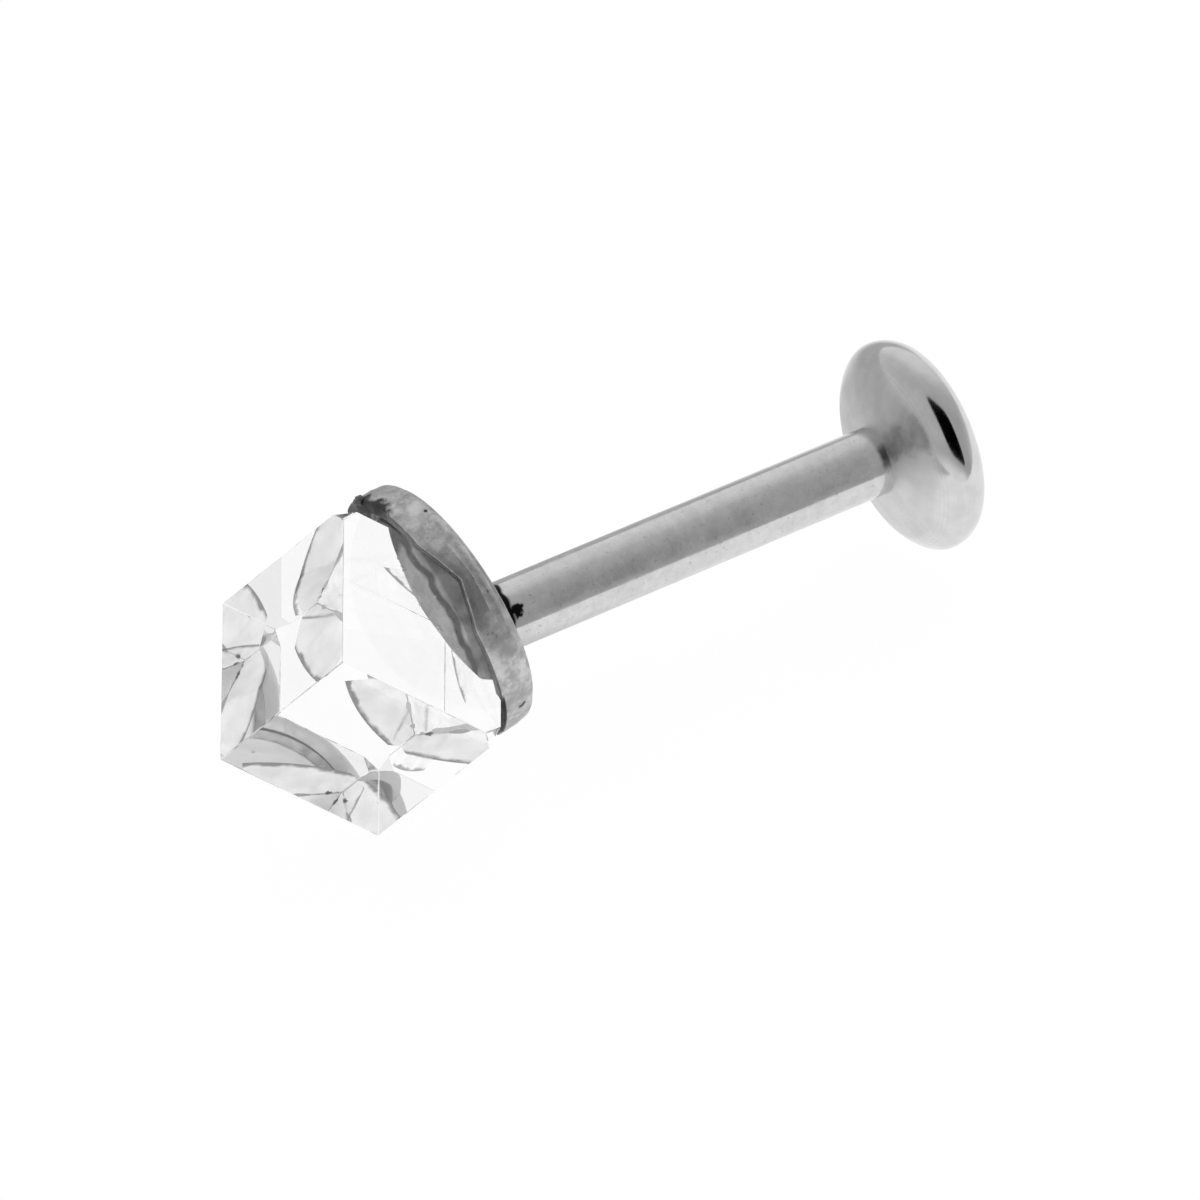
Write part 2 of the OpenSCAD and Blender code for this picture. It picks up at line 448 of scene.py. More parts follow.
def bead_mesh():
    """Small squeezed-out drop of adhesive, a ball with soft lumps."""
    bm = bmesh.new()
    bmesh.ops.create_icosphere(bm, subdivisions=4, radius=1)
    for v in bm.verts:
        lumps = 1 + 0.12 * sin(4 * v.co.x + 1) * sin(3 * v.co.y + 2) + 0.06 * sin(9 * v.co.z)
        v.co = Vector([along * half for along, half in zip(v.co, BEAD_SIZE)]) * lumps
    return bm


# Crystal

STONE_BEVEL = 0.022
# Two faces look the same way if the cosine between their normals is over this
SAME_WAY = 0.9999
# The adhesive's bond on each back side: the side's azimuth, how far past its own dome the adhesive wets
# it, how far out from the cup's axis, and the azimuth from which it spreads BOND_HALF_TURN to both sides
BOND_BALL = Vector((0, 0, CEMENT_TOP_Z - CEMENT_DOME_R))
BOND_HALF_TURN = radians(57)
BOND_SIDES = (
    (FACE_AZIMUTHS[0], 0.9, CUP_R - 0.06, SIDE_AZIMUTHS[0]),
    (FACE_AZIMUTHS[1], -0.04, CEMENT_D / 2 - 0.05, FACE_AZIMUTHS[1]),
    (FACE_AZIMUTHS[2], 0.6, CUP_R - 0.06, SIDE_AZIMUTHS[0]),
)
# Its round edges are cut as short straight lines, so many to each side, so many degrees apart
BOND_CUTS = range(-9, 10)
DOME_CUT_STEP, REACH_CUT_STEP = 3, 6


def split_back(bm, normal, point, across):
    """Cuts the faces of one back side along a line, and leaves both halves."""
    faces = [f for f in bm.faces if f.normal.dot(normal) > SAME_WAY]
    edges = {e for f in faces for e in f.edges}
    verts = {v for f in faces for v in f.verts}
    parts = faces + list(edges) + list(verts)
    bmesh.ops.bisect_plane(bm, geom=parts, plane_co=point, plane_no=across)


def bond_side(bm, azimuth, climb, reach, spread_from):
    """Bonds one back side. The adhesive's surface is a sphere, so that its edge there is an arc."""
    out = polar(1, azimuth)
    normal = (out * sqrt(2) - Vector((0, 0, 1))).normalized()
    slope = (out + Vector((0, 0, sqrt(2)))).normalized()
    middle = BOND_BALL - normal * BOND_BALL.dot(normal)
    arc_r = sqrt((CEMENT_DOME_R + climb) ** 2 - (BOND_BALL - middle).length_squared)
    for i in BOND_CUTS:
        way = Matrix.Rotation(radians(DOME_CUT_STEP * i), 3, normal) @ slope
        split_back(bm, normal, middle + way * arc_r, way)
    for i in BOND_CUTS:
        way = polar(1, spread_from + radians(REACH_CUT_STEP * i))
        split_back(bm, normal, CUP_CENTRE + way * reach, way)
    for last in (spread_from - BOND_HALF_TURN, spread_from + BOND_HALF_TURN):
        split_back(bm, normal, Vector(), Vector((-sin(last), cos(last), 0)))
    for face in bm.faces:
        place = face.calc_center_median()
        aside = (place - CUP_CENTRE).to_2d().length
        turned_by = polar(1, spread_from).to_2d().angle(place.to_2d(), 0)
        wet = (place - middle).length < arc_r and aside < reach and turned_by < BOND_HALF_TURN
        if face.normal.dot(normal) > SAME_WAY and wet:
            face.material_index = 1


def bond_back(bm):
    """Gives the crystal's back the second material as far as the adhesive reaches on it."""
    bm.normal_update()
    for side in BOND_SIDES:
        bond_side(bm, *side)
    for face in bm.faces:
        if face.normal.z < -SAME_WAY:
            face.material_index = 1


def stone_piece():
    bm = stone_cut()
    bmesh.ops.bevel(bm, geom=bm.edges[:], offset=STONE_BEVEL, segments=2, profile=0.6, affect="EDGES")
    bond_back(bm)
    piece = finish_mesh(bm, "cube_crystal", head_place, "stone")
    piece.data.shade_flat()
    return piece


# Node trees


class Nodes:
    """A node tree being built, with short ways to add its nodes and join them."""

    def __init__(self, tree):
        self.tree = tree

    def fill(self, node, values):
        """Gives each named input of a node a value, or joins another node's output to it."""
        for key, value in values.items():
            if isinstance(value, bpy.types.NodeSocket):
                self.tree.links.new(value, node.inputs[key])
            else:
                node.inputs[key].default_value = value

    def add(self, kind, values=None, **settings):
        node = self.tree.nodes.new(kind)
        for key, value in settings.items():
            setattr(node, key, value)
        self.fill(node, values or {})
        return node

    def math(self, operation, a, b=0.0, c=0.0):
        return self.add("ShaderNodeMath", {0: a, 1: b, 2: c}, operation=operation).outputs[0]

    def times(self, a, b):
        return self.math("MULTIPLY", a, b)

    def plus(self, a, b):
        return self.math("ADD", a, b)

    def either(self, a, b):
        return self.math("MAXIMUM", a, b)

    def vector(self, operation, a, b=(0, 0, 0), result="Vector"):
        return self.add("ShaderNodeVectorMath", {0: a, 1: b}, operation=operation).outputs[result]

    def ramp(self, value, low, high, start=0.0, end=1.0):
        values = {"Value": value, "From Min": low, "From Max": high, "To Min": start, "To Max": end}
        return self.add("ShaderNodeMapRange", values, interpolation_type="SMOOTHSTEP").outputs[0]

    def noise(self, vector, scale, detail=4.0, roughness=0.55):
        values = {"Vector": vector, "Scale": scale, "Detail": detail, "Roughness": roughness}
        return self.add("ShaderNodeTexNoise", values).outputs["Fac"]

    def mix(self, share, a, b):
        """Mixes two colours, which are the Mix node's inputs 6 and 7 and its output 2."""
        return self.add("ShaderNodeMix", {0: share, 6: a, 7: b}, data_type="RGBA").outputs[2]

    def bump(self, height, strength, distance):
        values = {"Height": height, "Strength": strength, "Distance": distance}
        return self.add("ShaderNodeBump", values).outputs[0]


def new_tree(name, kind, inputs, outputs):
    """A node group with named inputs and outputs: its builder, its inputs, and their identifiers."""
    tree = bpy.data.node_groups.new(name, kind)
    identifiers = {}
    for label, socket in inputs.items():
        made = tree.interface.new_socket(label, in_out="INPUT", socket_type="NodeSocket" + socket)
        identifiers[label] = made.identifier
    for label, socket in outputs.items():
        tree.interface.new_socket(label, in_out="OUTPUT", socket_type="NodeSocket" + socket)
    nodes = Nodes(tree)
    return nodes, nodes.add("NodeGroupInput").outputs, identifiers


# Bubbles

# The radius of the largest, the smallest's share of it, the share of the seats that hold one, and the
# seed of the choice
BUBBLE_R, BUBBLE_LEAST, BUBBLE_SHARE, BUBBLE_SEED = 0.05, 0.35, 0.22, 11
# Their seats: so many round the cup, at these shares of the way from the crystal's edge outwards
SEATS_ROUND, SEAT_SHARES = 150, (0.0, 0.12, 0.45, 0.8)
# How far seats keep from the crystal and the adhesive's side, how deep they sink, how far they are
# shifted round the cup in radians, and the least width left for them that holds any
SEAT_FROM_STONE, SEAT_FROM_SIDE, SEAT_SINK, SEAT_SHIFT, SEATS_LEAST_W = 0.03, 0.15, 0.008, 0.02, 0.3
# Random Value has a set of sockets for each kind of value: these are the ones for numbers, and the
# last is the one for yes or no
NUMBER_MIN, NUMBER_MAX, NUMBER_OUT, YES_NO_OUT = 2, 3, 1, 3


def bubble_tree():
    """Geometry Nodes: puts bubbles of uneven size on a random share of a mesh's points."""
    inputs = {"Geometry": "Geometry", "Radius": "Float", "Least": "Float", "Share": "Float", "Seed": "Int",
              "Finish": "Material"}
    nodes, given, identifiers = new_tree("Row of bubbles", "GeometryNodeTree", inputs,
                                         {"Geometry": "Geometry"})
    keep = nodes.add("FunctionNodeRandomValue", {"Probability": given["Share"], "Seed": given["Seed"]},
                     data_type="BOOLEAN")
    sizes = {NUMBER_MIN: given["Least"], NUMBER_MAX: 1.0, "Seed": given["Seed"]}
    size = nodes.add("FunctionNodeRandomValue", sizes, data_type="FLOAT").outputs[NUMBER_OUT]
    ball = nodes.add("GeometryNodeMeshIcoSphere", {"Radius": given["Radius"], "Subdivisions": 3})
    places = {"Points": given["Geometry"], "Selection": keep.outputs[YES_NO_OUT],
              "Instance": ball.outputs["Mesh"], "Scale": size}
    placed = nodes.add("GeometryNodeInstanceOnPoints", places).outputs["Instances"]
    real = nodes.add("GeometryNodeRealizeInstances", {"Geometry": placed}).outputs["Geometry"]
    painted = nodes.add("GeometryNodeSetMaterial", {"Geometry": real, "Material": given["Finish"]})
    nodes.add("NodeGroupOutput", {"Geometry": painted.outputs["Geometry"]})
    return nodes.tree, identifiers


def bubble_seats():
    """Points over the bared adhesive, most of them along the crystal's edge."""
    bm = bmesh.new()
    outer = CEMENT_D / 2 - SEAT_FROM_SIDE
    for i in range(SEATS_ROUND):
        angle = 2 * pi * i / SEATS_ROUND
        start = bared_radius(angle) + SEAT_FROM_STONE
        for share in SEAT_SHARES:
            radius = start + share * (outer - start)
            # Sines of uneven steps scatter the seats, and thin them out towards the rim
            turned_by = angle + SEAT_SHIFT * sin(37 * i + 90 * share)
            if outer - start > SEATS_LEAST_W and sin(12.9 * i + 78.2 * share) > share:
                bm.verts.new(polar(radius, turned_by, dome_height(radius, turned_by) - SEAT_SINK))
    return bm


def bubbles_piece(material):
    """Bakes the bubbles that Geometry Nodes put on the seats."""
    holder = add_object("bubble seats", mesh_from(bubble_seats(), "bubble seats"))
    tree, identifiers = bubble_tree()
    modifier = holder.modifiers.new("Bubbles", "NODES")
    modifier.node_group = tree
    values = {"Radius": BUBBLE_R, "Least": BUBBLE_LEAST, "Share": BUBBLE_SHARE, "Seed": BUBBLE_SEED,
              "Finish": material}
    for name, value in values.items():
        modifier[identifiers[name]] = value
    bpy.context.view_layer.update()
    graph = bpy.context.evaluated_depsgraph_get()
    bm = bmesh.new()
    bm.from_mesh(bpy.data.meshes.new_from_object(holder.evaluated_get(graph)))
    bpy.data.objects.remove(holder)
    piece = finish_mesh(bm, "adhesive_bubbles", cup_place, sharp=60)
    dress(piece, material)
    return piece


# Effects that more than one finish uses


def wear_group():
    """Fine scratches and soft smears of handled steel, in a frame that follows the piece."""
    masks = {"Smears": "Float", "Scratches": "Float"}
    nodes, given, _ = new_tree("Steel wear", "ShaderNodeTree", {"Vector": "Vector"}, masks)
    smears = nodes.noise(given["Vector"], 900.0, 5.0)
    stretched = nodes.add("ShaderNodeMapping", {"Vector": given["Vector"], "Scale": (900, 9000, 900)})
    scratches = nodes.noise(stretched.outputs[0], 1.0, 2.0)
    nodes.add("NodeGroupOutput", {"Smears": nodes.ramp(smears, 0.35, 0.7),
                                  "Scratches": nodes.ramp(scratches, 0.5, 0.75)})
    return nodes.tree


def clouding_group():
    """Soft clouds: noise between two of its values, spread from one number to another."""
    inputs = {"Vector": "Vector"}
    for label in ("Scale", "Detail", "Roughness", "From", "To", "Least", "Most"):
        inputs[label] = "Float"
    nodes, given, _ = new_tree("Clouding", "ShaderNodeTree", inputs, {"Value": "Float"})
    noise = nodes.noise(given["Vector"], given["Scale"], given["Detail"], given["Roughness"])
    value = nodes.ramp(noise, given["From"], given["To"], given["Least"], given["Most"])
    nodes.add("NodeGroupOutput", {"Value": value})
    return nodes.tree


STEEL_WEAR = wear_group()
CLOUDING = clouding_group()


def worn(nodes, position):
    """The smears and the scratches of handled steel."""
    metres = nodes.vector("MULTIPLY", position, (MM,) * 3)
    wear = nodes.add("ShaderNodeGroup", {"Vector": metres}, node_tree=STEEL_WEAR)
    return wear.outputs["Smears"], wear.outputs["Scratches"]


def cloud(nodes, position, scale, detail, roughness=0.55, low=0.3, high=0.7, least=0.0, most=1.0):
    values = {"Vector": position, "Scale": scale, "Detail": detail, "Roughness": roughness,
              "From": low, "To": high, "Least": least, "Most": most}
    return nodes.add("ShaderNodeGroup", values, node_tree=CLOUDING).outputs["Value"]


def uneven(nodes, position, scale, detail, by, low=0.3, high=0.7):
    """Clouds that shift a mark's edge by so much either way."""
    return cloud(nodes, position, scale, detail, low=low, high=high, least=-by, most=by)


def spot(nodes, position, place, core, edge, rough):
    """Mask of one mark, 1 inside core and 0 past edge, its outline made uneven by rough."""
    apart = nodes.vector("DISTANCE", position, place, "Value")
    apart = nodes.plus(apart, uneven(nodes, position, 7.0, 3.0, rough))
    return nodes.ramp(apart, core, edge, 1.0, 0.0)


# Finishes


def grey(value):
    return (value, value, value, 1.0)


def new_finish(name):
    material = bpy.data.materials.new(name)
    material.use_nodes = True
    nodes = Nodes(material.node_tree)
    return material, nodes, material.node_tree.nodes["Principled BSDF"]


def centred(nodes, place):
    """Object coordinates in millimetres in a piece's own frame, its axis along Z."""
    back = place.inverted()
    values = {"Location": back.to_translation(), "Rotation": back.to_euler(), "Scale": (1 / MM,) * 3}
    values["Vector"] = nodes.add("ShaderNodeTexCoord").outputs["Object"]
    return nodes.add("ShaderNodeMapping", values).outputs[0]


def round_axis(nodes, position):
    """Distance from the piece's axis, height along it, and the place with its height left out."""
    parts = nodes.add("ShaderNodeSeparateXYZ", {0: position})
    flat = nodes.add("ShaderNodeCombineXYZ", {0: parts.outputs[0], 1: parts.outputs[1]}).outputs[0]
    return nodes.vector("LENGTH", flat, result="Value"), parts.outputs[2], flat


def toward(nodes, flat, azimuth):
    """Cosine of the angle round the axis between a place and an azimuth in degrees."""
    way = nodes.vector("NORMALIZE", flat)
    return nodes.vector("DOT_PRODUCT", way, polar(1, radians(azimuth)), "Value")


def lines_along(nodes, value, count):
    """A place that moves only with one value, for noise in about so many lines to its unit."""
    return nodes.add("ShaderNodeCombineXYZ", {0: nodes.times(value, count)}).outputs[0]


# The disc has about this many turning lines to a millimetre
DISC_LINES = 26.0
# It is duller round the bar's foot: fully out to the first radius, not past the second, by so much
DISC_DULL_FROM_R, DISC_DULL_R, DISC_DULL = 2.3 * 0.8, 2.3, 0.34
# A painted reflection of the bar's shaded side lies as a dark patch on one side of the dull part, and ends
# between two heights over the ridge
DISC_REFLECTION_AZ, DISC_REFLECTION = -46, 0.6
DISC_REFLECTION_END_H, DISC_REFLECTION_FULL_H = 0.2, 0.4


def disc_painted_reflection(nodes, position, radius, height, flat):
    """Mask of the painted reflection of the bar's shaded side, dark from the bar's foot towards the ridge.
    """
    shift = uneven(nodes, position, 2.5, 2.0, 0.03, 0.2, 0.8)
    painted_reflection = nodes.ramp(nodes.plus(toward(nodes, flat, DISC_REFLECTION_AZ), shift), 0.93, 1.02)
    painted_reflection = nodes.times(painted_reflection, nodes.ramp(radius, DISC_DULL_FROM_R, DISC_DULL_R, 1.0, 0.0))
    end, full = DISC_Z + DISC_REFLECTION_END_H, DISC_Z + DISC_REFLECTION_FULL_H
    return nodes.times(painted_reflection, nodes.ramp(height, end, full, 0.0, DISC_REFLECTION))


def turned_steel():
    """Disc: bright steel with fine rings left by turning, and a painted reflection of the bar as a dark
    patch.
    """
    material, nodes, surface = new_finish("Turned steel")
    position = centred(nodes, bar_place)
    radius, height, flat = round_axis(nodes, position)
    rings = nodes.noise(lines_along(nodes, radius, DISC_LINES), 1.0, 3.0, 0.7)
    mottle = cloud(nodes, position, 2.2, 5.0, 0.6)
    smears, scratches = worn(nodes, position)
    tone = nodes.mix(nodes.ramp(rings, 0.3, 0.7), grey(0.64), grey(0.7))
    tone = nodes.mix(nodes.times(mottle, 0.6), tone, grey(0.56))
    # Painted reflection: the bar's shaded side as a dark patch on the disc
    tone = nodes.mix(disc_painted_reflection(nodes, position, radius, height, flat), tone, grey(0.16))
    foot = nodes.ramp(radius, DISC_DULL_FROM_R, DISC_DULL_R, DISC_DULL, 0.0)
    polish = nodes.plus(foot, nodes.ramp(smears, 0.0, 1.0, 0.1, 0.18))
    relief = nodes.plus(rings, nodes.times(scratches, 0.2))
    nodes.fill(surface, {"Base Color": tone, "Roughness": polish, "Metallic": 1.0,
                         "Normal": nodes.bump(relief, 0.12, 0.000006)})
    return material


# A dark band where the cup meets the bar, in the bar's frame: where it starts and the stretch in
# which it deepens, how it leans and towards which azimuth, and the azimuth of the side that shows it
BAR_DARK_FROM, BAR_DARK_FADE = BAR_TOP_Z - 0.42, 0.08
BAR_DARK_LEAN, BAR_DARK_AZ, BAR_SEEN_AZ = 0.11, 15, -50
# A spot's place, the radius of its core, the radius at which it ends, and how uneven its outline is
BAR_DARK_SPOT = (Vector((0.5, -0.62, BAR_TOP_Z - 0.54)), 0.12, 0.22, 0.06)


def bar_dark_marks(nodes, position, height, flat):
    """Mask of the dark band at the cup's end and of the dark spot beside it."""
    leaned = nodes.math("MULTIPLY_ADD", toward(nodes, flat, BAR_DARK_AZ), BAR_DARK_LEAN, height)
    leaned = nodes.plus(leaned, uneven(nodes, position, 3.0, 1.0, 0.03))
    ring = nodes.ramp(leaned, BAR_DARK_FROM, BAR_DARK_FROM + BAR_DARK_FADE)
    ring = nodes.times(ring, nodes.ramp(toward(nodes, flat, BAR_SEEN_AZ), -0.4, -0.1))
    return nodes.either(ring, spot(nodes, position, *BAR_DARK_SPOT))


def polished_steel():
    """Bar: polished steel, clouded and finely specked, darker at the cup's end."""
    material, nodes, surface = new_finish("Polished steel")
    position = centred(nodes, bar_place)
    _, height, flat = round_axis(nodes, position)
    bands = nodes.noise(lines_along(nodes, height, 5.0), 1.0, 3.0)
    mottle = cloud(nodes, position, 3.0, 6.0, 0.7, 0.32, 0.68)
    specks = cloud(nodes, position, 11.0, 3.0, low=0.6, high=0.74)
    smears, scratches = worn(nodes, position)
    darkened = bar_dark_marks(nodes, position, height, flat)
    tone = nodes.mix(bands, grey(0.62), grey(0.72))
    tone = nodes.mix(nodes.times(mottle, 0.5), tone, grey(0.5))
    tone = nodes.mix(nodes.times(specks, 0.5), tone, grey(0.34))
    # Darker band and spot at the cup's end
    tone = nodes.mix(darkened, tone, grey(0.012))
    polish = nodes.math("MULTIPLY_ADD", darkened, 0.3, nodes.ramp(smears, 0.0, 1.0, 0.1, 0.2))
    relief = nodes.bump(nodes.either(scratches, mottle), 0.15, 0.000004)
    nodes.fill(surface, {"Base Color": tone, "Roughness": polish, "Metallic": 1.0, "Normal": relief})
    return material


# Painted light: how much lighter adhesive and cup are painted where they are seen through the crystal
CRYSTAL_PAINTED_LIGHT = 0.8

# Marks on the cup, in its own frame. The two spots are given as the bar's is
CUP_PIT = (Vector((-3.03, -0.3, 1.27)), 0.03, 0.06, 0.0)
CUP_NICK = (Vector((0.57, 3.02, 1.49)), 0.06, 0.13, 0.05)
# The dark smear on the outside: its azimuth, the height of its edge there, and how fast the edge rises
# away from there
CUP_SMEAR_AZ, CUP_SMEAR_FROM, CUP_SMEAR_RISE = -147, 1.68, 3.6
# The azimuths of the dark seam at the rim and of the painted shade inside the wall
CUP_SEAM_AZ, CUP_WALL_SHADE_AZ = 76, -170


def painted_light_through_crystal(nodes, tone):
    """Painted light: a tone made lighter where it is seen through the crystal."""
    through = nodes.add("ShaderNodeLightPath").outputs["Is Transmission Ray"]
    return nodes.mix(nodes.times(through, CRYSTAL_PAINTED_LIGHT), tone, grey(1.0))


def cup_painted_shade(nodes, radius, height, flat):
    """Mask of the painted shade on the inside of the wall, and on top of the rim."""
    inner = CUP_R - CUP_WALL
    inside = nodes.ramp(radius, inner - 0.02, inner + 0.1, 1.0, 0.0)
    inside = nodes.times(inside, nodes.ramp(height, CUP_FLOOR_Z - 0.05, CUP_FLOOR_Z))
    wall_shade = nodes.times(inside, nodes.ramp(toward(nodes, flat, CUP_WALL_SHADE_AZ), 0.78, 0.9))
    rim_top_shade = nodes.ramp(radius, CUP_R - 0.05, CUP_R - 0.02, 1.0, 0.0)
    rim_top_shade = nodes.times(rim_top_shade, nodes.ramp(radius, inner, inner + 0.06))
    rim_top_shade = nodes.times(rim_top_shade, nodes.ramp(height, CUP_FLOOR_Z + 0.05, CUP_FLOOR_Z + 0.1, 0.0, 0.8))
    return nodes.either(wall_shade, rim_top_shade)


def cup_outer_marks(nodes, position, height, flat):
    """Mask of the smear and the seam at the rim, and of the pit and the nick in the wall."""
    around = toward(nodes, flat, CUP_SMEAR_AZ)
    border = nodes.math("MULTIPLY_ADD", around, -CUP_SMEAR_RISE, CUP_SMEAR_FROM + CUP_SMEAR_RISE)
    over = nodes.plus(nodes.math("SUBTRACT", height, border), uneven(nodes, position, 2.2, 3.0, 0.16))
    smear = nodes.times(nodes.ramp(around, 0.82, 0.86), nodes.ramp(over, -0.08, 0.12))
    seam = nodes.ramp(toward(nodes, flat, CUP_SEAM_AZ), 0.95, 0.97)
    seam = nodes.times(seam, nodes.ramp(height, CUP_RIM_Z - 0.06, CUP_RIM_Z - 0.03))
    spots = nodes.either(spot(nodes, position, *CUP_PIT), spot(nodes, position, *CUP_NICK))
    return nodes.either(nodes.either(smear, seam), spots)


def tumbled_steel():
    """Cup: duller stamped steel, mottled, smeared with dark residue where the crystal's corners sit, with
    painted shade inside the wall and on the rim's top, and painted light where it is seen through the
    crystal.
    """
    material, nodes, surface = new_finish("Tumbled steel")
    position = centred(nodes, cup_place)
    radius, height, flat = round_axis(nodes, position)
    mottle = cloud(nodes, position, 2.4, 7.0, 0.7, 0.34, 0.68)
    specks = cloud(nodes, position, 9.0, 2.0, low=0.66, high=0.74)
    _, scratches = worn(nodes, position)
    marks_and_shade = nodes.either(cup_outer_marks(nodes, position, height, flat),
                         cup_painted_shade(nodes, radius, height, flat))
    tone = nodes.mix(mottle, grey(0.42), grey(0.66))
    tone = nodes.mix(nodes.times(specks, 0.6), tone, grey(0.16))
    # Dark residue, seam and marks, and painted shade inside the wall and on the rim's top
    tone = nodes.mix(nodes.times(marks_and_shade, 0.93), tone, grey(0.02))
    polish = nodes.ramp(mottle, 0.0, 1.0, 0.55, 0.42)
    relief = nodes.plus(mottle, nodes.times(scratches, 0.3))
    nodes.fill(surface, {"Base Color": painted_light_through_crystal(nodes, tone), "Roughness": polish, "Metallic": 1.0,
                         "Normal": nodes.bump(relief, 0.35, 0.00001)})
    return material


# Painted shade runs round in the adhesive as a dark groove, and darkens it at the upper side corner
ADHESIVE_SHADE_R, ADHESIVE_SHADE_AZ = 2.33, -152


def bubbled_adhesive():
    """Adhesive: grey resin, with painted shade as a dark groove round it and at the upper corner, and
    painted light where it is seen through the crystal.
    """
    material, nodes, surface = new_finish("Bubbled adhesive")
    position = centred(nodes, cup_place)
    radius, _, flat = round_axis(nodes, position)
    mottle = cloud(nodes, position, 2.6, 5.0, 0.6)
    wavy = nodes.plus(radius, uneven(nodes, position, 1.6, 1.0, 0.06))
    groove_shade = nodes.math("ABSOLUTE", nodes.math("SUBTRACT", wavy, ADHESIVE_SHADE_R))
    groove_shade = nodes.ramp(groove_shade, 0.04, 0.13, 1.0, 0.0)
    corner = nodes.ramp(toward(nodes, flat, ADHESIVE_SHADE_AZ), 0.94, 0.975)
    tone = nodes.mix(mottle, grey(0.5), grey(0.72))
    # Painted shade in the groove and at the upper corner
    tone = nodes.mix(nodes.times(nodes.either(groove_shade, corner), 0.85), tone, grey(0.08))
    polish = nodes.ramp(mottle, 0.0, 1.0, 0.12, 0.3)
    nodes.fill(surface, {"Base Color": painted_light_through_crystal(nodes, tone), "Roughness": polish, "IOR": 1.5,
                         "Normal": nodes.bump(mottle, 0.4, 0.00002)})
    return material


def bonded_back():
    """The adhesive as it is seen through the crystal, bonded to its back, with painted shade towards its
    edge.
    """
    material, nodes, surface = new_finish("Bonded back")
    position = centred(nodes, head_place)
    _, _, flat = round_axis(nodes, position)
    edge = CEMENT_DOME_R
    for azimuth, climb, _, _ in BOND_SIDES:
        on_side = nodes.ramp(toward(nodes, flat, degrees(azimuth)), 0.49, 0.51)
        edge = nodes.math("MULTIPLY_ADD", on_side, climb, edge)
    inward = nodes.math("SUBTRACT", edge, nodes.vector("DISTANCE", position, BOND_BALL, "Value"))
    inward = nodes.plus(inward, uneven(nodes, position, 2.4, 3.0, 0.05))
    rim = nodes.ramp(inward, 0.05, 0.16, 1.0, 0.0)
    mottle = cloud(nodes, position, 1.3, 5.0, 0.6, 0.35, 0.65)
    tone = nodes.mix(mottle, grey(0.86), grey(1.0))
    # Painted shade towards the bond's edge
    tone = nodes.mix(nodes.times(rim, 0.8), tone, grey(0.16))
    nodes.fill(surface, {"Base Color": tone, "Metallic": 1.0, "Roughness": 0.1})
    return material


def bright_bubble():
    """A bubble's skin, catching the light."""
    material, nodes, surface = new_finish("Bubble")
    position = nodes.add("ShaderNodeTexCoord").outputs["Object"]
    tone = nodes.mix(nodes.noise(position, 9000.0, 2.0), grey(0.7), grey(0.95))
    nodes.fill(surface, {"Base Color": tone, "Roughness": 0.15, "IOR": 1.5})
    return material


def clear_crystal():
    """Crystal: clear cut glass."""
    material, nodes, surface = new_finish("Clear crystal")
    nodes.fill(surface, {"Base Color": grey(1), "Roughness": 0.0, "IOR": 1.55, "Transmission Weight": 1.0})
    return material


# The pieces and their finishes

disc = finish_mesh(turned(disc_rows(), DISC_STEPS), "back_disc_turned", disc_place,
                   "back_disc", sharp=40)
bar = finish_mesh(turned(bar_rows(), BAR_STEPS), "bar_polished", bar_place, "post", sharp=40)
cup = finish_mesh(turned(cup_rows(), CUP_STEPS), "cup_stamped", cup_place, "cup", sharp=28)
cement = finish_mesh(turned(cement_rows(), CEMENT_STEPS), "adhesive_ring", cup_place,
                     "cement", sharp=40)
bead = finish_mesh(bead_mesh(), "adhesive_bead", cup_place @ Matrix.Translation(BEAD_AT),
                   sharp=60)
stone = stone_piece()

adhesive = bubbled_adhesive()
dress(disc, turned_steel())
dress(bar, polished_steel())
dress(cup, tumbled_steel())
dress(cement, adhesive)
dress(bead, adhesive)
dress(stone, clear_crystal(), bonded_back())
bubbles_piece(bright_bubble())


# Camera, floor and light

# The way from the stud to the front, where the camera stands, and the camera's up and right
TO_FRONT = Vector((-0.3718, -0.5023, 0.7807)).normalized()
UP = Vector((0.3783, 0.6860, 0.6215))
UP = (UP - TO_FRONT * UP.dot(TO_FRONT)).normalized()
RIGHT = UP.cross(TO_FRONT)
# The frame's width and its middle, to the right and up, in millimetres
FRAME_WIDTH, FRAME_MIDDLE = 27.03, (0.692, 1.297)
LENS, SENSOR = 600, 36
# The nearest and furthest that the camera sees, and the floor's radius, in metres
CLIP_START, CLIP_END, FLOOR_R = 0.01, 5, 3.0

# The steel mirrors a floor with a painted shadow, which dims it towards the left of the picture and a
# little upwards, over this stretch in millimetres. How bright it is mirrored at both ends, and how bright
# it is seen
FLOOR_SHADOW_TOWARD = Vector((-0.63, 0.77, 0))
FLOOR_SHADOW_FROM, FLOOR_SHADOW_TO = -4.0, 3.5
FLOOR_BRIGHT, FLOOR_DIM, FLOOR_SEEN = 0.95, 0.44, 0.92

# Share of full light from low to high, as a mirror ball in front of the room would show it
ROOM_TONES = [(-0.46, 1.0), (-0.36, 0.82), (-0.27, 0.1), (-0.22, 0.0), (-0.12, 0.04), (0.3, 0.0),
              (0.52, 0.2), (0.7, 0.66), (0.85, 0.85), (1.0, 0.7)]
# The greys of the room's middle, lighter to the left of the ball than to the right, of full light and
# of both sides
ROOM_LEFT, ROOM_RIGHT, ROOM_FULL, ROOM_SIDES = 0.6, 0.46, 0.98, 0.95
# The card's middle and half sizes there; it leans so that the bar doesn't mirror it
CARD_AT, CARD_W, CARD_H, CARD_LEAN = (0.13, 0.03), 0.28, 0.26, 0.4
# 2 makes the card an ellipse, and more makes it a rounded box
CARD_CORNERS = 4.0
# Share of the room's darkness that the crystal shows
CRYSTAL_DEPTH = 0.25
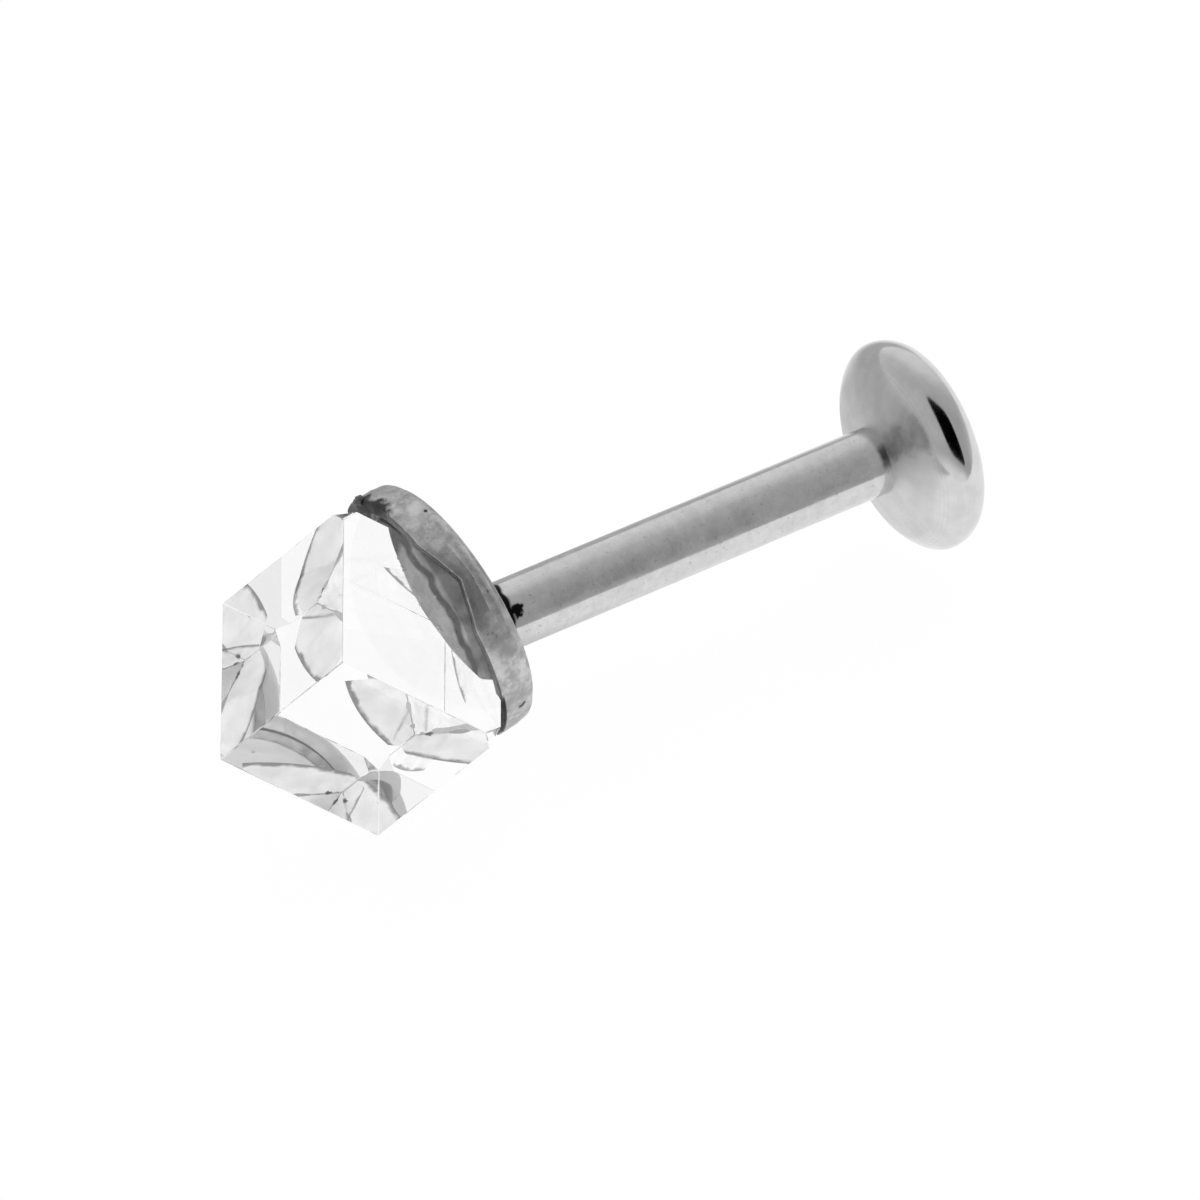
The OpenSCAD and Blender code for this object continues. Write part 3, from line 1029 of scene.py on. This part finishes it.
# How often light may turn, so that it comes out of the crystal again
LIGHT_TURNS = 32


def add_camera():
    data = bpy.data.cameras.new("Camera")
    data.lens = LENS
    data.sensor_width = SENSOR
    data.clip_start = CLIP_START
    data.clip_end = CLIP_END
    aim = RIGHT * FRAME_MIDDLE[0] + UP * FRAME_MIDDLE[1]
    stand = (aim + TO_FRONT * (FRAME_WIDTH * LENS / SENSOR)) * MM
    camera = add_object("Camera", data)
    camera.matrix_world = Matrix.Translation(stand) @ Matrix((RIGHT, UP, TO_FRONT)).transposed().to_4x4()
    bpy.context.scene.camera = camera


def add_floor():
    """Plain floor that glows by itself, so that it stays pure white and takes only a breath of shadow. The
    steel mirrors it with a painted shadow.
    """
    bm = bmesh.new()
    bmesh.ops.create_circle(bm, cap_ends=True, radius=FLOOR_R, segments=96)
    floor = add_object("floor", mesh_from(bm, "floor"))
    material, nodes, surface = new_finish("Pale floor")
    position = nodes.add("ShaderNodeTexCoord").outputs["Object"]
    along = nodes.vector("DOT_PRODUCT", position, FLOOR_SHADOW_TOWARD, "Value")
    painted_shadow = nodes.ramp(along, FLOOR_SHADOW_FROM * MM, FLOOR_SHADOW_TO * MM, FLOOR_BRIGHT, FLOOR_DIM)
    path = nodes.add("ShaderNodeLightPath").outputs
    mirrored = nodes.math("SUBTRACT", path["Is Glossy Ray"], path["Is Transmission Ray"])
    # Painted shadow in the floor as the steel mirrors it
    tone = nodes.mix(mirrored, grey(FLOOR_SEEN), nodes.mix(painted_shadow, grey(0.0), grey(1.0)))
    nodes.fill(surface, {"Base Color": grey(0.2), "Roughness": 0.9, "Specular IOR Level": 0.0,
                         "Emission Color": tone, "Emission Strength": 1.0})
    dress(floor, material)


def on_mirror_ball(nodes):
    """Where a mirror ball in front of the room shows each direction, to the right and up.

    That is the middle between the direction and the way to the front.
    """
    direction = nodes.add("ShaderNodeTexCoord").outputs["Generated"]
    on_ball = nodes.vector("NORMALIZE", nodes.vector("ADD", direction, TO_FRONT))
    return [nodes.vector("DOT_PRODUCT", on_ball, way, "Value") for way in (RIGHT, UP)]


def room_shade(nodes, right, up):
    """A room with a light front and sides, a grey middle and a lighter top."""
    tones = nodes.add("ShaderNodeValToRGB", {0: nodes.math("MULTIPLY_ADD", up, 0.5, 0.5)})
    stops = tones.color_ramp.elements
    while len(stops) < len(ROOM_TONES):
        stops.new(0.5)
    for stop, (height, tone) in zip(stops, ROOM_TONES):
        stop.position = 0.5 + height / 2
        stop.color = grey(tone)
    sides = nodes.ramp(nodes.math("ABSOLUTE", right), 0.58, 0.95)
    middle = nodes.mix(nodes.ramp(right, -0.75, 0.35), grey(ROOM_LEFT), grey(ROOM_RIGHT))
    shade = nodes.mix(tones.outputs[0], middle, grey(ROOM_FULL))
    return nodes.mix(nodes.times(sides, 0.8), shade, grey(ROOM_SIDES))


def beside_card(nodes, right, up):
    """0 on the card, a leaning box with round corners, and 1 past its edge."""
    leaned = nodes.math("MULTIPLY_ADD", up, CARD_LEAN, right)
    powers = []
    for along, middle, half in ((leaned, CARD_AT[0], CARD_W), (up, CARD_AT[1], CARD_H)):
        share = nodes.math("DIVIDE", nodes.math("SUBTRACT", along, middle), half)
        powers.append(nodes.math("POWER", nodes.math("ABSOLUTE", share), CARD_CORNERS))
    return nodes.ramp(nodes.plus(*powers), 0.85, 1.05)


def add_light():
    """The steel mirrors the room with a black card, the crystal a paler room, and the camera sees white."""
    world = bpy.data.worlds.new("Studio")
    world.use_nodes = True
    bpy.context.scene.world = world
    nodes = Nodes(world.node_tree)
    right, up = on_mirror_ball(nodes)
    shade = room_shade(nodes, right, up)
    carded = nodes.mix(beside_card(nodes, right, up), grey(0.0), shade)
    through = nodes.mix(CRYSTAL_DEPTH, grey(1.0), shade)
    path = nodes.add("ShaderNodeLightPath").outputs
    shown = nodes.mix(path["Is Transmission Ray"], carded, through)
    shown = nodes.mix(path["Is Camera Ray"], shown, grey(1.0))
    nodes.fill(world.node_tree.nodes["Background"], {"Color": shown, "Strength": 1.0})


# White stays white
bpy.context.scene.view_settings.view_transform = "Standard"
bpy.context.scene.cycles.max_bounces = LIGHT_TURNS
bpy.context.scene.cycles.glossy_bounces = LIGHT_TURNS
bpy.context.scene.cycles.transmission_bounces = LIGHT_TURNS
add_camera()
add_floor()
add_light()
